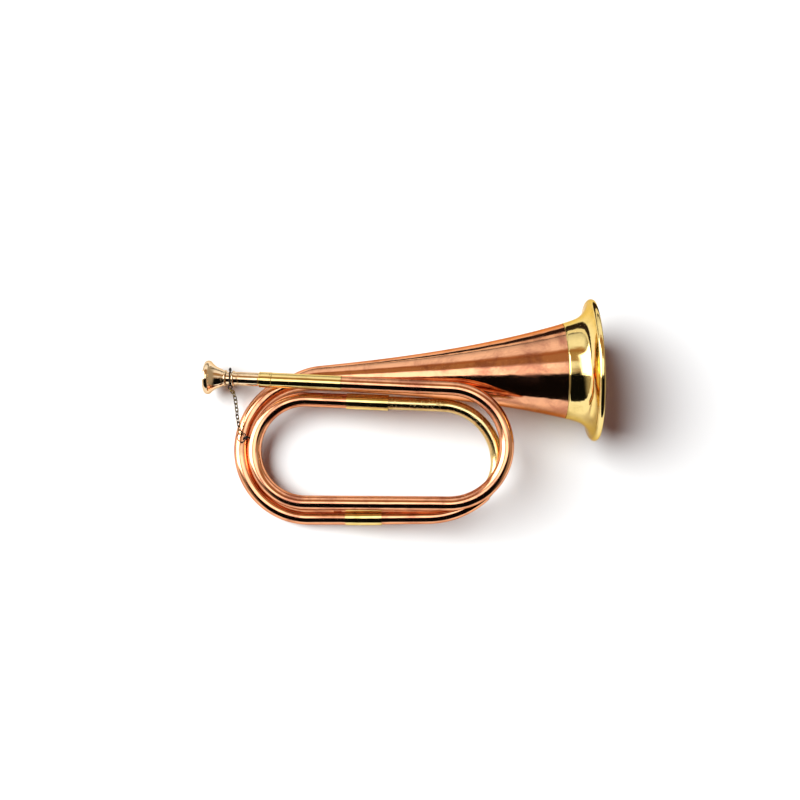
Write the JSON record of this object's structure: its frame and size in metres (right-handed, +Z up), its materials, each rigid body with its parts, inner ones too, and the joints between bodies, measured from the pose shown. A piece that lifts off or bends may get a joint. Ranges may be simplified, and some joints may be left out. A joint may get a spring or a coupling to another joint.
{
  "type": "bugle",
  "caption": "Two-coil copper bugle with brass crook, ferrules and bell garland, a brass mouthpiece and its safety chain, lying on its side.",
  "frame": {"origin": "centre of the bounding box's base, on the surface that the bugle lies on", "axes": "+X from the mouthpiece towards the bell's mouth, +Y across the coil towards the leadpipe, +Z up, with the bugle lying on its side"},
  "size_m": [0.3188, 0.1758, 0.1122],
  "materials": {
    "copper": "polished copper",
    "brass": "polished",
    "rose_brass": "polished",
    "dark_wire": "dark, tarnished",
    "chain_brass": "dull, tarnished",
    "solder": "dull grey"
  },
  "bodies": {
    "coil": {"receiver_collar": "brass", "receiver_tube": "brass", "first_coil": "copper", "brass_crook": "brass", "return_tube": "copper", "upper_ferrule": "brass", "lower_ferrule": "brass", "bell_tube": "copper", "bell_garland": "brass", "bell_rim": "brass", "solder_bows": "solder", "solder_runs": "solder", "solder_throat": "solder", "eyelet": "dark_wire"},
    "neck_loop": {"neck_wire": "dark_wire"},
    "mouthpiece": {"mouthpiece": "rose_brass"},
    "link_01": {"chain_link_01": "chain_brass"},
    "link_02": {"chain_link_02": "chain_brass"},
    "link_03": {"chain_link_03": "chain_brass"},
    "link_04": {"chain_link_04": "chain_brass"},
    "link_05": {"chain_link_05": "chain_brass"},
    "link_06": {"chain_link_06": "chain_brass"},
    "link_07": {"chain_link_07": "chain_brass"},
    "link_08": {"chain_link_08": "chain_brass"},
    "link_09": {"chain_link_09": "chain_brass"},
    "link_10": {"chain_link_10": "chain_brass"},
    "link_11": {"chain_link_11": "chain_brass"},
    "link_12": {"chain_link_12": "chain_brass"},
    "link_13": {"chain_link_13": "chain_brass"},
    "split_ring": {"split_ring": "chain_brass"}
  },
  "joints": [
    {"name": "mouthpiece_slide", "type": "slide", "parent": "coil", "child": "neck_loop", "axis": [-0.972, 0.0818, -0.2203], "range_m": [0, 0.008]},
    {"name": "mouthpiece_twist", "type": "hinge", "parent": "neck_loop", "child": "mouthpiece", "pos_m": [-0.11466, 0.02778, 0.02859], "axis": [-0.972, 0.0818, -0.2203], "continuous": true},
    {"name": "link_01_turn", "type": "hinge", "parent": "neck_loop", "child": "link_01", "pos_m": [-0.13758, 0.02145, 0.02256], "axis": [0.1306, -0.9531, -0.273], "range_deg": [0, 40.97]},
    {"name": "link_02_turn", "type": "hinge", "parent": "link_01", "child": "link_02", "pos_m": [-0.13619, 0.02026, 0.01999], "axis": [-0.8033, -0.5735, 0.1608], "range_deg": [0, 8.67]},
    {"name": "link_03_turn", "type": "hinge", "parent": "link_02", "child": "link_03", "pos_m": [-0.13484, 0.01892, 0.01748], "axis": [0.825, 0.1865, 0.5335], "range_deg": [0, 9.09]},
    {"name": "link_04_turn", "type": "hinge", "parent": "link_03", "child": "link_04", "pos_m": [-0.13384, 0.01663, 0.01559], "axis": [0.93, 0.322, -0.1772], "range_deg": [0, 5.92]},
    {"name": "link_05_turn", "type": "hinge", "parent": "link_04", "child": "link_05", "pos_m": [-0.13322, 0.01382, 0.01431], "axis": [-0.1425, 0.9273, -0.3461], "range_deg": [0, 17.25]},
    {"name": "link_06_turn", "type": "hinge", "parent": "link_05", "child": "link_06", "pos_m": [-0.13276, 0.0108, 0.01351], "axis": [-0.3022, 0.9354, 0.1835], "range_deg": [0, 26.72]},
    {"name": "link_07_turn", "type": "hinge", "parent": "link_06", "child": "link_07", "pos_m": [-0.13234, 0.00769, 0.01334], "axis": [-0.0838, 0.8396, 0.5367], "range_deg": [0, 21.14]},
    {"name": "link_08_turn", "type": "hinge", "parent": "link_07", "child": "link_08", "pos_m": [-0.13206, 0.0046, 0.01396], "axis": [0.1736, 0.7137, 0.6786], "range_deg": [0, 6.27]},
    {"name": "link_09_turn", "type": "hinge", "parent": "link_08", "child": "link_09", "pos_m": [-0.13183, 0.00159, 0.01486], "axis": [-0.9226, 0.1328, -0.3621], "range_deg": [0, 1.11]},
    {"name": "link_10_turn", "type": "hinge", "parent": "link_09", "child": "link_10", "pos_m": [-0.13147, -0.00146, 0.01562], "axis": [0.1187, 0.1291, -0.9845], "range_deg": [0, 0.972]},
    {"name": "link_11_turn", "type": "hinge", "parent": "link_10", "child": "link_11", "pos_m": [-0.131, -0.00448, 0.01641], "axis": [-0.9955, -0.0908, -0.0272], "range_deg": [0, 3.88]},
    {"name": "link_12_turn", "type": "hinge", "parent": "link_11", "child": "link_12", "pos_m": [-0.13051, -0.00757, 0.01672], "axis": [-0.9896, -0.1411, 0.0292], "range_deg": [0, 5.95]},
    {"name": "link_13_turn", "type": "hinge", "parent": "link_12", "child": "link_13", "pos_m": [-0.13003, -0.01065, 0.01623], "axis": [-0.9889, -0.1474, 0.0158], "range_deg": [0, 1.46]},
    {"name": "split_ring_swing", "type": "hinge", "parent": "coil", "child": "split_ring", "pos_m": [-0.12492, -0.01651, 0.01663], "axis": [0.1909, 0.513, -0.8369], "range_deg": [0, 12.92]}
  ],
  "couplings": [
    {"joint": "link_01_turn", "follows": "mouthpiece_slide", "rad_per_m": 89.274},
    {"joint": "link_02_turn", "follows": "mouthpiece_slide", "rad_per_m": 18.8},
    {"joint": "link_03_turn", "follows": "mouthpiece_slide", "rad_per_m": 19.711},
    {"joint": "link_04_turn", "follows": "mouthpiece_slide", "rad_per_m": 12.818},
    {"joint": "link_05_turn", "follows": "mouthpiece_slide", "rad_per_m": 37.52},
    {"joint": "link_06_turn", "follows": "mouthpiece_slide", "rad_per_m": 58.179},
    {"joint": "link_07_turn", "follows": "mouthpiece_slide", "rad_per_m": 46.005},
    {"joint": "link_08_turn", "follows": "mouthpiece_slide", "rad_per_m": 13.577},
    {"joint": "link_09_turn", "follows": "mouthpiece_slide", "rad_per_m": 2.3079},
    {"joint": "link_10_turn", "follows": "mouthpiece_slide", "rad_per_m": 2.0125},
    {"joint": "link_11_turn", "follows": "mouthpiece_slide", "rad_per_m": 8.3506},
    {"joint": "link_12_turn", "follows": "mouthpiece_slide", "rad_per_m": 12.867},
    {"joint": "link_13_turn", "follows": "mouthpiece_slide", "rad_per_m": 3.074},
    {"joint": "split_ring_swing", "follows": "mouthpiece_slide", "rad_per_m": 28.081}
  ]
}
